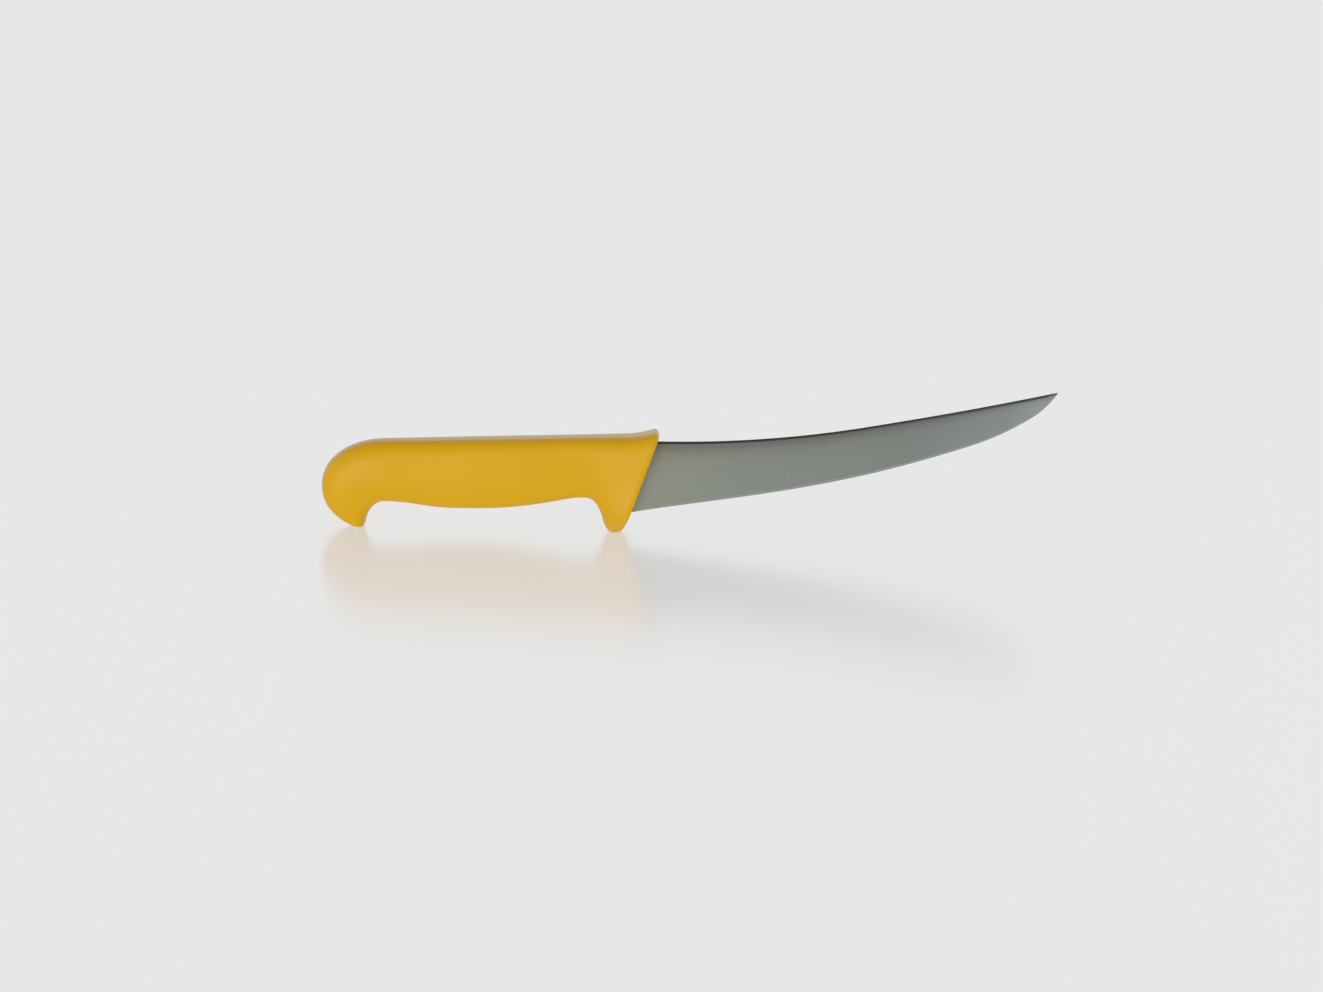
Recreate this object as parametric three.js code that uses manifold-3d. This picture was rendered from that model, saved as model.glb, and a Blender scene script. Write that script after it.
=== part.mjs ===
// A curved boning knife with a moulded handle: a ground steel blade whose tang is keyed
// into a hard core, and a yellow grip moulded over the core.
// Millimetres, +Z up, +X towards the point. The knife stands edge down on its guard and
// its pommel hook, and the origin is the middle of the guard's foot, on the bench.
import * as THREE from "three";
import { mergeVertices } from "three/addons/utils/BufferGeometryUtils.js";
import Module from "manifold-3d";

const wasm = await Module();
wasm.setup();

const degree = Math.PI / 180;

// Overall sizes
const footSpan = 100.4; // middle of the guard's foot to middle of the hook's foot
const pointReach = 171.9; // guard's foot to the point of the blade
const fitGap = 0.3; // room left between two pieces that are moulded onto each other

// Handle, seen from the side. A heading is in degrees, counted from +X towards +Z.
const frontRake = 19.7 * degree; // the front face leans forward
const frontToe = 3.14; // where the front face's line meets the bench
const backHeight = 37.88; // back above the bench, over the guard's foot
const backFall = 2.26 * degree; // the back falls towards the pommel
const lipHeight = 39.62; // thumb lip at the front of the back
const lipSetback = 3; // crest of the lip behind the front face's line
const lipBase = 37; // the front face starts to round into the lip here
const lipRun = 10.4; // crest of the lip to the straight of the back
const lipHeading = 194.6;
const spurBase = 4.37; // the front face starts to round into the foot here
const spurBackSetback = 4.74; // back of the guard's spur, behind the middle of its foot
const spurBackHeight = 4.4;
const spurBackHeading = 105.4;
const neckHeight = 13.58; // under the neck, where the forefinger lies
const neckBehindFoot = 12.3;
const neckRun = 13.57; // neck to where the belly falls fastest
const neckDrop = 2.14;
const neckRunHeading = 190.6;
const bellyHeight = 8.24; // lowest point of the belly
const bellyAheadOfHook = 36.44; // from the middle of the hook's foot, as are those below
const hookValleyAhead = 10.68; // where the little finger lies
const hookValleyHeight = 10.37;
const hookInsideAhead = 2.41;
const hookInsideHeight = 1.97;
const hookInsideHeading = 260;
const hookToeHeading = 343;
const hookFootLength = 1.45; // along the knife
const backEndAhead = 8.63; // end of the back's straight
const pommelOverhang = 14.76; // rearmost point of the pommel, behind the hook's foot
const pommelHeight = 16.12;
const footTrim = 0.3; // both feet are trimmed flat by this much

// Handle, seen from above: widths over all
const guardWidth = 24.8; // at the front face, before its edge is rounded
const neckWidth = 20;
const bellySwell = 1.2; // the belly is wider than the line from neck to pommel
const pommelWidth = 19.6;
const guardFootWidth = 19;
const hookFootWidth = 9.6;
const frontEdgeRound = 2.4;
const gripSquareness = 3.8; // of a section: 2 is an ellipse, higher is closer to a rectangle
const pommelSquareness = 2.8;

// Blade
const spineHeight = 36; // at the handle
const spineRadius = 449; // the spine sweeps up from the handle
const spineSweep = 11.55 * degree; // then runs straight to the point
const spineThickness = 2.4; // at the handle
const pointThickness = 0.7;
const spineChamfer = 0.25;
const heelHeight = 7.5; // lower edge of the blade at the front face
const heelLength = 9.8; // left unsharpened ahead of the handle
const heelRise = 10.2 * degree;
const edgeHeading = 9; // at the front of the heel
const quickenSetback = 36.3; // where the edge starts to quicken, behind the point and below it
const quickenDrop = 22.55;
const quickenHeading = 18.9;
const tipSetback = 12.9; // where the edge turns into the tip
const tipDrop = 11.77;
const tipHeading = 30.8;
const pointHeading = 47.4; // of the edge, at the point
const bevelHeight = 0.9; // sharpened bevel, up the face
const bevelThickness = 0.36; // over both faces, at the top of the bevel
const edgeLand = 0.06; // over both faces, at the cutting edge
const heelLand = 0.36;
const pointLand = 0.4;
const rootDepth = 5; // full height of the blade inside the front face

// Tang, which lies parallel to the back
const tangHeight = 12;
const tangEndHeight = 10;
const tangEndAhead = 18; // its rounded end, from the middle of the hook's foot
const shoulderRound = 2.4; // curve from the tang out to the root of the blade
const tangHoleDiameter = 6;
const tangHoleCount = 3;
const tangHoleInset = 10; // outer holes from the core's front and from the tang's end

// Core, moulded onto the tang first, and the grip's skin over it
const gripSkin = 3.6; // at the neck, where the handle is thinnest
const coreFront = 15; // behind the middle of the guard's foot
const coreEndWall = 4; // core behind the end of the tang
const coreSquareness = 5;
const grooveCount = 5; // rings that lock the grip to the core
const grooveWidth = 5;
const grooveDepth = 1.2;

// Fineness of the round surfaces
const gripSides = 28;
const coreSides = 20;
const guardRibs = 12;
const backRibs = 12;
const pommelRibs = 18;
const bladeRibs = 34;
const roundSegments = 24;
const curvePull = 0.39; // share of the chord, as on a quarter circle
const weldDistance = 1e-4; // points of one solid closer than this are one point

const hookX = -footSpan;
const frontX = (z) => frontToe + z * Math.tan(frontRake);
const backZ = (x) => backHeight + x * Math.tan(backFall);
const coreHeight = backZ(-neckBehindFoot) - neckHeight - 2 * gripSkin;
const coreWidth = neckWidth - 2 * gripSkin;
const tangDrop = gripSkin + coreHeight / 2; // middle line of tang and core below the back
const tangEnd = hookX + tangEndAhead;
const mix = THREE.MathUtils.lerp;
const smooth = (t) => THREE.MathUtils.smoothstep(t, 0, 1);

// A knot of an outline: a place in the side view and the heading there, in degrees from +X.
const knot = (x, z, heading) => ({
  at: new THREE.Vector2(x, z),
  way: new THREE.Vector2(Math.cos(heading * degree), Math.sin(heading * degree)),
});

// A smooth path through knots, one cubic curve from each to the next.
function throughKnots(...knots) {
  const path = new THREE.CurvePath();
  knots.slice(1).forEach((end, i) => {
    const start = knots[i];
    const pull = curvePull * start.at.distanceTo(end.at);
    const leave = start.at.clone().addScaledVector(start.way, pull);
    const arrive = end.at.clone().addScaledVector(end.way, -pull);
    path.add(new THREE.CubicBezierCurve(start.at, leave, arrive, end.at));
  });
  return path;
}

// The handle's side outline in three zones, from the front face to the hook's toe.
// Ribs join the upper path to the lower one at the same share of a zone.
function handleZones() {
  const rakeUp = 90 - frontRake / degree;
  const backwards = 180 + backFall / degree;
  const lipX = frontX(lipHeight) - lipSetback;
  const backStart = lipX - lipRun;
  const backEnd = hookX + backEndAhead;
  const lipFoot = knot(frontX(lipBase), lipBase, rakeUp);
  const lipCrest = knot(lipX, lipHeight, lipHeading);
  const backFront = knot(backStart, backZ(backStart), backwards);
  const backRear = knot(backEnd, backZ(backEnd), backwards);
  const pommelRear = knot(hookX - pommelOverhang, pommelHeight, 270);
  const hookToe = knot(hookX - hookFootLength / 2, -footTrim, hookToeHeading);
  const spurFront = knot(frontX(spurBase), spurBase, rakeUp + 180);
  const guardFoot = knot(0, -footTrim, 180);
  const spurBack = knot(-spurBackSetback, spurBackHeight, spurBackHeading);
  const neck = knot(-neckBehindFoot, neckHeight, 180);
  const bellyRun = knot(-neckBehindFoot - neckRun, neckHeight - neckDrop, neckRunHeading);
  const belly = knot(hookX + bellyAheadOfHook, bellyHeight, 180);
  const hookValley = knot(hookX + hookValleyAhead, hookValleyHeight, 180);
  const hookInside = knot(hookX + hookInsideAhead, hookInsideHeight, hookInsideHeading);
  const hookHeel = knot(hookX + hookFootLength / 2, -footTrim, 180);
  return [
    {
      upper: throughKnots(lipFoot, lipCrest, backFront),
      lower: throughKnots(spurFront, guardFoot, spurBack, neck),
      ribs: guardRibs,
    },
    {
      upper: throughKnots(backFront, backRear),
      lower: throughKnots(neck, bellyRun, belly, hookValley),
      ribs: backRibs,
    },
    {
      upper: throughKnots(backRear, pommelRear, hookToe),
      lower: throughKnots(hookValley, hookInside, hookHeel),
      ribs: pommelRibs,
    },
  ];
}

// The handle's section at a share of a zone: its half width, how far its lower end
// narrows and how square it is.
function handleSection(zone, share, behindFront) {
  if (zone === 0) {
    const flare = mix(guardWidth, neckWidth, smooth(share)) / 2;
    const shy = THREE.MathUtils.clamp(1 - behindFront / frontEdgeRound, 0, 1);
    const rounding = frontEdgeRound * (1 - Math.sqrt(1 - shy * shy));
    const low = mix(guardFootWidth / guardWidth, 1, smooth(share));
    return { half: flare - rounding, low, squareness: gripSquareness };
  }
  if (zone === 1) {
    const straight = mix(neckWidth, pommelWidth, share) / 2;
    const half = straight + (bellySwell / 2) * Math.sin(Math.PI * share);
    return { half, low: 1, squareness: gripSquareness };
  }
  const half = mix(pommelWidth, hookFootWidth, share * share) / 2;
  return { half, low: 1, squareness: mix(gripSquareness, pommelSquareness, smooth(share)) };
}

// A ring across the handle: a squared ellipse whose long axis is the rib from bottom to top.
function sectionRing(top, bottom, { half, low, squareness }, sides) {
  const power = 2 / squareness;
  const bend = (value) => Math.sign(value) * Math.abs(value) ** power;
  return Array.from({ length: sides }, (_, i) => {
    const angle = (i / sides) * 2 * Math.PI;
    const up = bend(Math.cos(angle));
    const taper = mix(1, low, smooth(-up));
    const place = bottom.clone().lerp(top, (1 + up) / 2);
    return new THREE.Vector3(place.x, half * taper * bend(Math.sin(angle)), place.y);
  });
}

// A closed skin over rings with equal counts, with a flat cap on each end.
function skinOver(rings) {
  const count = rings[0].length;
  const middle = (ring) => {
    const sum = ring.reduce((total, p) => total.add(p), new THREE.Vector3());
    return sum.divideScalar(ring.length);
  };
  const points = [...rings.flat(), middle(rings[0]), middle(rings.at(-1))];
  const firstCap = rings.length * count;
  const lastRing = (rings.length - 1) * count;
  const index = [];
  for (let i = 0; i < count; i++) {
    const next = (i + 1) % count;
    index.push(firstCap, next, i);
    index.push(firstCap + 1, lastRing + i, lastRing + next);
    for (let base = 0; base < lastRing; base += count) {
      const [a, b, c, d] = [base + i, base + next, base + count + next, base + count + i];
      index.push(a, b, c, a, c, d);
    }
  }
  return new THREE.BufferGeometry().setFromPoints(points).setIndex(index);
}

// A closed geometry as a solid that can be joined and cut, whichever way its faces wind.
function solidOf(geometry) {
  const bare = geometry.clone();
  bare.deleteAttribute("normal");
  bare.deleteAttribute("uv");
  const merged = mergeVertices(bare, weldDistance);
  const vertProperties = new Float32Array(merged.attributes.position.array);
  const make = (triVerts) =>
    new wasm.Manifold(new wasm.Mesh({ numProp: 3, vertProperties, triVerts }));
  const solid = make(new Uint32Array(merged.index.array));
  return solid.volume() > 0 ? solid : make(new Uint32Array(merged.index.array).reverse());
}

// A solid as a geometry with flat-shaded faces.
function geometryOf(solid) {
  const { vertProperties, triVerts } = solid.getMesh();
  const shared = new THREE.BufferGeometry();
  shared.setAttribute("position", new THREE.BufferAttribute(vertProperties, 3));
  shared.setIndex(new THREE.BufferAttribute(triVerts, 1));
  const geometry = shared.toNonIndexed();
  geometry.computeVertexNormals();
  return geometry;
}

// The whole outside of the handle as one solid, feet still untrimmed.
function handleBody() {
  const faceNormal = new THREE.Vector2(Math.cos(frontRake), -Math.sin(frontRake));
  const facePoint = new THREE.Vector2(frontToe, 0);
  const rings = handleZones().flatMap(({ upper, lower, ribs }, zone) =>
    Array.from({ length: ribs + (zone === 2 ? 1 : 0) }, (_, i) => {
      const share = i / ribs;
      const top = upper.getPoint(share);
      const bottom = lower.getPoint(share);
      const centre = top.clone().lerp(bottom, 0.5);
      const behindFront = facePoint.clone().sub(centre).dot(faceNormal);
      return sectionRing(top, bottom, handleSection(zone, share, behindFront), gripSides);
    }),
  );
  return solidOf(skinOver(rings));
}

// Places a solid made along the tang's own line, x along it and z across, in the handle.
function alongTang(geometry) {
  geometry.rotateY(-backFall);
  geometry.translate(0, 0, backHeight - tangDrop);
  return geometry;
}

const firstHole = -coreFront - tangHoleInset;
const lastHole = tangEnd + tangHoleInset;
const holePlaces = Array.from({ length: tangHoleCount }, (_, i) =>
  mix(firstHole, lastHole, i / (tangHoleCount - 1)),
);

// The tang, grown all round by an allowance where it is used to cut its own seat. Its sides
// curve out to shoulders that lie along the back of the blade's root.
function tangSolid(allowance) {
  const middle = backHeight - tangDrop;
  const frontHalf = tangHeight / 2 + allowance;
  const endHalf = tangEndHeight / 2 + allowance;
  const endCentre = tangEnd + tangEndHeight / 2;
  const flare = shoulderRound;
  const rootBack = (across) => frontX(middle + across) - rootDepth - allowance;
  const inRoot = (across) => frontX(middle + across) - rootDepth / 2 + allowance;
  const reach = frontHalf + flare;
  const outline = new THREE.Shape();
  outline.moveTo(inRoot(-reach), -reach);
  outline.lineTo(inRoot(reach), reach);
  outline.lineTo(rootBack(reach), reach);
  outline.quadraticCurveTo(rootBack(frontHalf), frontHalf, rootBack(frontHalf) - flare, frontHalf);
  outline.lineTo(endCentre, endHalf);
  outline.absarc(endCentre, 0, endHalf, Math.PI / 2, 1.5 * Math.PI);
  outline.lineTo(rootBack(-frontHalf) - flare, -frontHalf);
  outline.quadraticCurveTo(rootBack(-frontHalf), -frontHalf, rootBack(-reach), -reach);
  outline.closePath();
  if (!allowance)
    for (const x of holePlaces) {
      const hole = new THREE.Path().absarc(x, 0, tangHoleDiameter / 2, 0, 2 * Math.PI, true);
      outline.holes.push(hole);
    }
  const thickness = spineThickness + 2 * allowance;
  const plate = new THREE.ExtrudeGeometry(outline, {
    depth: thickness,
    bevelEnabled: false,
    curveSegments: roundSegments,
  });
  plate.translate(0, 0, -thickness / 2);
  plate.rotateX(Math.PI / 2);
  return solidOf(alongTang(plate));
}

// The spine from inside the handle to the point: straight, a sweep, then straight.
function spinePath(allowance) {
  const front = new THREE.Vector2(frontX(spineHeight), spineHeight);
  const start = new THREE.Vector2(front.x - rootDepth - allowance, spineHeight);
  const down = -Math.PI / 2;
  const centreZ = spineHeight + spineRadius;
  const sweep = new THREE.EllipseCurve(
    front.x, centreZ, spineRadius, spineRadius, down, down + spineSweep,
  );
  const sweepEnd = sweep.getPoint(1);
  const rise = (pointReach - sweepEnd.x) * Math.tan(spineSweep);
  const point = new THREE.Vector2(pointReach, sweepEnd.y + rise);
  const path = new THREE.CurvePath();
  path.add(new THREE.LineCurve(start, front));
  path.add(sweep);
  path.add(new THREE.LineCurve(sweepEnd, point));
  return path;
}

// The lower edge: a straight unsharpened heel, then a belly that quickens to the point.
function edgePath(allowance, point) {
  const heelX = frontX(heelHeight);
  const backX = heelX - rootDepth - allowance;
  const slope = Math.tan(heelRise);
  const start = new THREE.Vector2(backX, heelHeight + (backX - heelX) * slope);
  const heelEnd = knot(heelX + heelLength, heelHeight + heelLength * slope, edgeHeading);
  const quicken = knot(point.x - quickenSetback, point.y - quickenDrop, quickenHeading);
  const tip = knot(point.x - tipSetback, point.y - tipDrop, tipHeading);
  const end = knot(point.x, point.y - pointLand, pointHeading);
  const path = throughKnots(heelEnd, quicken, tip, end);
  path.curves.unshift(new THREE.LineCurve(start, heelEnd.at));
  return path;
}

// The ground blade with its root, grown by an allowance where it cuts its own slot.
function groundBlade(allowance) {
  const spine = spinePath(allowance);
  const edge = edgePath(allowance, spine.getPoint(1));
  const sharpFrom = frontX(heelHeight) + heelLength;
  const rings = Array.from({ length: bladeRibs + 1 }, (_, i) => {
    const share = i / bladeRibs;
    const high = spine.getPoint(share);
    const low = edge.getPoint(share);
    const up = high.clone().sub(low).normalize();
    const height = high.distanceTo(low);
    const bevel = Math.min(bevelHeight, height / 2);
    const chamfer = Math.min(spineChamfer, height / 4);
    const spineHalf = mix(spineThickness, pointThickness, share) / 2;
    const bevelHalf = Math.min(bevelThickness / 2, spineHalf);
    const landHalf = mix(heelLand, edgeLand, smooth((low.x - sharpFrom) / bevelHeight)) / 2;
    high.addScaledVector(up, allowance);
    low.addScaledVector(up, -allowance);
    const place = (base, along, y) => {
      const at = base.clone().addScaledVector(up, along);
      return new THREE.Vector3(at.x, y + Math.sign(y) * allowance, at.y);
    };
    const side = (sign) => [
      place(high, 0, sign * (spineHalf - chamfer)),
      place(high, -chamfer, sign * spineHalf),
      place(low, bevel, sign * bevelHalf),
      place(low, 0, sign * landHalf),
    ];
    return [...side(1), ...side(-1).reverse()];
  });
  return solidOf(skinOver(rings));
}

// The core's outside: a squared bar with rings of grooves, grown by an allowance.
function coreBar(allowance) {
  const back = tangEnd - coreEndWall - allowance;
  const front = -coreFront + allowance;
  const pitch = (front - back) / grooveCount;
  const stops = [[front, 0]];
  for (let i = 0; i < grooveCount; i++) {
    const centre = front - (i + 0.5) * pitch;
    const half = grooveWidth / 2 - allowance;
    const slope = grooveDepth / 2;
    stops.push([centre + half + slope, 0], [centre + half - slope, grooveDepth]);
    stops.push([centre - half + slope, grooveDepth], [centre - half - slope, 0]);
  }
  stops.push([back, 0]);
  const rings = stops.map(([x, depth]) => {
    const reach = coreHeight / 2 - depth + allowance;
    const half = coreWidth / 2 - depth + allowance;
    const top = new THREE.Vector2(x, reach);
    const bottom = new THREE.Vector2(x, -reach);
    return sectionRing(top, bottom, { half, low: 1, squareness: coreSquareness }, coreSides);
  });
  return solidOf(alongTang(skinOver(rings)));
}

// Pegs of the core that cross the tang's holes.
function corePegs() {
  const length = coreWidth - 2 * grooveDepth - 2 * fitGap;
  return holePlaces.map((x) => {
    const radius = tangHoleDiameter / 2 - fitGap;
    const peg = new THREE.CylinderGeometry(radius, radius, length, roundSegments);
    peg.translate(x, 0, 0);
    return solidOf(alongTang(peg));
  });
}

// Everything below the bench, to trim the feet flat.
function belowBench() {
  const slab = new THREE.BoxGeometry(2 * footSpan, 2 * guardWidth, lipHeight);
  slab.translate(-footSpan / 2, 0, -lipHeight / 2);
  return solidOf(slab);
}

const steel = new THREE.MeshStandardMaterial({ color: "#8d918c", roughness: 0.34, metalness: 1 });
const yellowPlastic = new THREE.MeshStandardMaterial({ color: "#dca520", roughness: 0.46 });
const naturalPlastic = new THREE.MeshStandardMaterial({ color: "#d9d3c4", roughness: 0.6 });

function piece(name, solid, material) {
  const mesh = new THREE.Mesh(geometryOf(solid), material);
  mesh.name = name;
  return mesh;
}

const tangSeat = tangSolid(fitGap);
const bladeSteel = groundBlade(0).add(tangSolid(0));
const core = corePegs().reduce((solid, peg) => solid.add(peg), coreBar(0).subtract(tangSeat));
const grip = handleBody()
  .subtract(belowBench())
  .subtract(coreBar(fitGap))
  .subtract(tangSeat)
  .subtract(groundBlade(fitGap));

const knife = new THREE.Group();
knife.add(piece("blade", bladeSteel, steel));
knife.add(piece("handle_core", core, naturalPlastic));
knife.add(piece("handle_grip", grip, yellowPlastic));

export default knife;
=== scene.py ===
# Looks of a curved boning knife with a moulded handle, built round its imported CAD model
import math

import bmesh
import bpy
import numpy as np
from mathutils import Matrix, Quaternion, Vector


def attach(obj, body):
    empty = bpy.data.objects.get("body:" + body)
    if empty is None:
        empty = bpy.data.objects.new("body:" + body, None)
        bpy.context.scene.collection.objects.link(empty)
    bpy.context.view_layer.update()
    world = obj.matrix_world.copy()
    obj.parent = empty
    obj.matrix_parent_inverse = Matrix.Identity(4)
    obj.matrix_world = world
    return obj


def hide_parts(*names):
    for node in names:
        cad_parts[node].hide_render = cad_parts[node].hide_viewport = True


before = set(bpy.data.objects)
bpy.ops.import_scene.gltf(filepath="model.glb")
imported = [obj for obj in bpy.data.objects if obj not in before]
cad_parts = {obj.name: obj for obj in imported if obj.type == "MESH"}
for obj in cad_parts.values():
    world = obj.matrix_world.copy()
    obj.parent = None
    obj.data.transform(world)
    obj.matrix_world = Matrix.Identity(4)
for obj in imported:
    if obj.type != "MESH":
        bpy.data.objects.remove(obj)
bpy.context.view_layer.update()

scene = bpy.context.scene
mm = 0.001
degree = math.pi / 180
print("frame loaded:", ", ".join(sorted(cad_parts)))


# Helpers for shapes: lengths in millimetres, side view as (x, z)

def mix(a, b, t):  # straight blend from a to b
    return a + (b - a) * t


def smooth(t):  # 0 to 1 with level ends
    t = np.clip(t, 0, 1)
    return t * t * (3 - 2 * t)


# Points of a smooth line through knots (x, z, heading in degrees from +X towards +Z).
# Formula: a cubic curve from each knot to the next, its two handles lying along the
# headings and as long as a fixed share of the chord.
def curveThrough(knots, pull=0.39, steps=160):
    knots = np.array(knots, float)
    at = knots[:, :2]
    way = np.stack([np.cos(knots[:, 2] * degree), np.sin(knots[:, 2] * degree)], axis=1)
    reach = pull * np.linalg.norm(np.diff(at, axis=0), axis=1)[:, None]
    start, end = at[:-1, None], at[1:, None]
    leave = (at[:-1] + reach * way[:-1])[:, None]
    arrive = (at[1:] - reach * way[1:])[:, None]
    t = np.linspace(0, 1, steps)[None, :, None]
    points = (1 - t)**3 * start + 3 * (1 - t)**2 * t * leave + 3 * (1 - t) * t**2 * arrive + t**3 * end
    return points.reshape(-1, 2)


# Points of a line at given shares of its length, by linear interpolation along it.
def atShares(line, shares):
    steps = np.linalg.norm(np.diff(line, axis=0), axis=1)
    run = np.concatenate([[0], np.cumsum(steps)])
    return np.stack([np.interp(shares * run[-1], run, line[:, k]) for k in (0, 1)], axis=-1)


# Rings across a piece. Formula: a squared ellipse |up|^n + |across|^n = 1 in polar form,
# its up axis laid along the rib from bottom to top. Gives the side-view places, and the
# shares up and across, each from -1 to 1.
def squaredRings(bottom, top, squareness, turn):
    n = np.asarray(squareness, float)
    radius = (np.abs(np.cos(turn))**n + np.abs(np.sin(turn))**n)**(-1 / n)
    shape = (len(bottom), turn.shape[1])
    up = np.broadcast_to(radius * np.cos(turn), shape)
    across = np.broadcast_to(radius * np.sin(turn), shape)
    places = mix(bottom[:, None], top[:, None], (1 + up[..., None]) / 2)
    return places, up, across


# Quads between neighbouring rows and columns of a grid, with each row a closed ring.
def ringQuads(rows, columns):
    index = np.arange(rows * columns).reshape(rows, columns)
    beside = np.roll(index, -1, axis=1)
    return np.stack([index[:-1], beside[:-1], beside[1:], index[1:]], axis=-1)


# A mesh object from a grid of points in millimetres. Rows that shrink to a point or a
# line close its ends: their doubled points are welded, and the faces turned outwards.
def makePiece(name, grid, quads, materials, slots=None, sharpRows=(), sharpColumns=(), uv=None):
    columns = grid.shape[1]
    mesh = bpy.data.meshes.new(name)
    mesh.from_pydata((grid.reshape(-1, 3) * mm).tolist(), [], quads.tolist())
    ends = np.zeros(len(mesh.edges) * 2, np.int32)
    mesh.edges.foreach_get("vertices", ends)
    row, column = np.divmod(ends.reshape(-1, 2), columns)
    sharp = (row[:, 0] == row[:, 1]) & np.isin(row[:, 0], sharpRows)
    sharp |= (column[:, 0] == column[:, 1]) & np.isin(column[:, 0], sharpColumns)
    mesh.edges.foreach_set("use_edge_sharp", sharp)
    mesh.polygons.foreach_set("use_smooth", np.ones(len(quads), bool))
    for material in materials:
        mesh.materials.append(material)
    if slots is not None:
        mesh.polygons.foreach_set("material_index", slots.astype(np.int32))
    if uv is not None:
        corners = np.zeros(len(mesh.loops), np.int32)
        mesh.loops.foreach_get("vertex_index", corners)
        mesh.uv_layers.new(name="grind").data.foreach_set("uv", uv.reshape(-1, 2)[corners].ravel())
    weld = 1e-6  # metres
    work = bmesh.new()
    work.from_mesh(mesh)
    bmesh.ops.remove_doubles(work, verts=work.verts, dist=weld)
    bmesh.ops.dissolve_degenerate(work, edges=work.edges, dist=weld / 10)
    bmesh.ops.recalc_face_normals(work, faces=work.faces)
    openEdges = sum(not edge.is_manifold for edge in work.edges)
    work.to_mesh(mesh)
    work.free()
    piece = bpy.data.objects.new(name, mesh)
    scene.collection.objects.link(piece)
    print(f"{name}: {len(mesh.polygons)} faces, {openEdges} open edges")
    return piece


# Helpers for materials

# An sRGB hex colour as linear red, green, blue and alpha, by the standard curve.
def linearColor(hexText):
    srgb = [int(hexText[k:k + 2], 16) / 255 for k in (1, 3, 5)]
    return [c / 12.92 if c <= 0.04045 else ((c + 0.055) / 1.055)**2.4 for c in srgb] + [1]


# Adds a node: its own settings, then inputs by name or number, each a value or a socket to
# link from, and the stops of a colour ramp, each a place and a colour.
def addNode(tree, kind, settings=None, inputs=None, stops=()):
    node = tree.nodes.new(kind)
    for key, value in (settings or {}).items():
        setattr(node, key, value)
    for key, value in (inputs or {}).items():
        if isinstance(value, bpy.types.NodeSocket):
            tree.links.new(value, node.inputs[key])
        else:
            node.inputs[key].default_value = value
    if stops:
        elements = node.color_ramp.elements
        elements[1].position, elements[1].color = stops[-1][0], linearColor(stops[-1][1])
        elements[0].position, elements[0].color = stops[0][0], linearColor(stops[0][1])
        for place, color in stops[1:-1]:
            elements.new(place).color = linearColor(color)
    return node


def newMaterial(name):  # with an empty node tree
    material = bpy.data.materials.new(name)
    material.use_nodes = True
    material.node_tree.nodes.clear()
    return material, material.node_tree


# Camera: the photograph's side view, a little from above, with its slight tilt
camera = {
    "lookAt": (17.9, 0, 14.26),  # middle of the picture, on the knife's middle plane
    "elevation": 10,
    "roll": 1.275,
    "lens": 100,
    "sensor": 36,
    "frameWidth": 518.6,  # what the picture spans at the knife
}


# The eye stands back from lookAt at the elevation, far enough to take in frameWidth.
def makeCamera():
    data = bpy.data.cameras.new("camera")
    data.lens = camera["lens"]
    data.sensor_width = camera["sensor"]
    eye = bpy.data.objects.new("camera", data)
    scene.collection.objects.link(eye)
    rise = camera["elevation"] * degree
    back = Vector((0, -math.cos(rise), math.sin(rise)))
    away = camera["frameWidth"] * camera["lens"] / camera["sensor"]
    eye.location = (Vector(camera["lookAt"]) + back * away) * mm
    level = (-back).to_track_quat("-Z", "Y")
    eye.rotation_mode = "QUATERNION"
    eye.rotation_quaternion = level @ Quaternion((0, 0, 1), camera["roll"] * degree)
    scene.camera = eye


makeCamera()
print("camera set")


# Blade and tang: the CAD model's sizes, with the outline drawn a little finer
blade = {
    "frontRake": 19.7,  # the handle's front face leans forward, and meets the bench at frontToe
    "frontToe": 3.14,
    "pointReach": 171.9,
    "spineHeight": 35.9,
    "spineRadius": 449,
    "spineSweep": 10.6,
    "pointHeight": 58.72,
    "pointSpine": 12.9,  # heading of the spine where it ends
    "spineThickness": 2.4,
    "pointThickness": 0.7,
    "spineRound": (1.0, 0.9),  # the spine's corners: their height, and share of the half thickness
    "heelHeight": 7.5,
    "heelLength": 9.8,
    "heelRise": 10.2,
    "edgeHeading": 8.98,
    "quicken": (36.3, 22.8, 18.9),  # behind the point, below it, heading
    "tip": (12.9, 12.0, 30.8),
    "pointHeading": 54,
    "pointBlunt": 0.004,  # share of the blade's length that is taken off the point
    "pointFade": 4,  # the faces run together over the last of the blade's height
    "bevelHeight": 0.9,
    "bevelThickness": 0.36,
    "bevelRun": 2.7,  # the bevel comes in over this length, ahead of the heel
    "edgeLand": 0.02,
    "shadeAndGlossDepth": (52, 14),  # the painted shade and the change of gloss span this much below the spine, root and point
    "rootDepth": 5,
    "tangMiddle": 25.97,  # height of the tang's line over the origin
    "tangFall": 2.26,
    "tangHeight": 12,
    "tangEndHeight": 10,
    "tangEnd": -82.4,
    "shoulderRound": 2.4,
    "edgeBreak": 0.25,
    "holes": (-25, -48.7, -72.4),
    "holeDiameter": 6,
    "sweepSteps": 200,
    "ribs": 190,
    "ribCrowding": 1.25,  # ribs stand closer towards the point
    "faceSteps": 9,  # on each half of a face
    "roundSteps": 10,
}


# Where the raked front face of the handle lies at a height.
def frontX(z):
    return blade["frontToe"] + z * math.tan(blade["frontRake"] * degree)


# A place along the tang's line and across it, turned by the tang's fall.
def onTang(along, across):
    fall = blade["tangFall"] * degree
    x = along * math.cos(fall) - across * math.sin(fall)
    z = along * math.sin(fall) + across * math.cos(fall)
    return np.stack([x, z + blade["tangMiddle"]], axis=-1)


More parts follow.
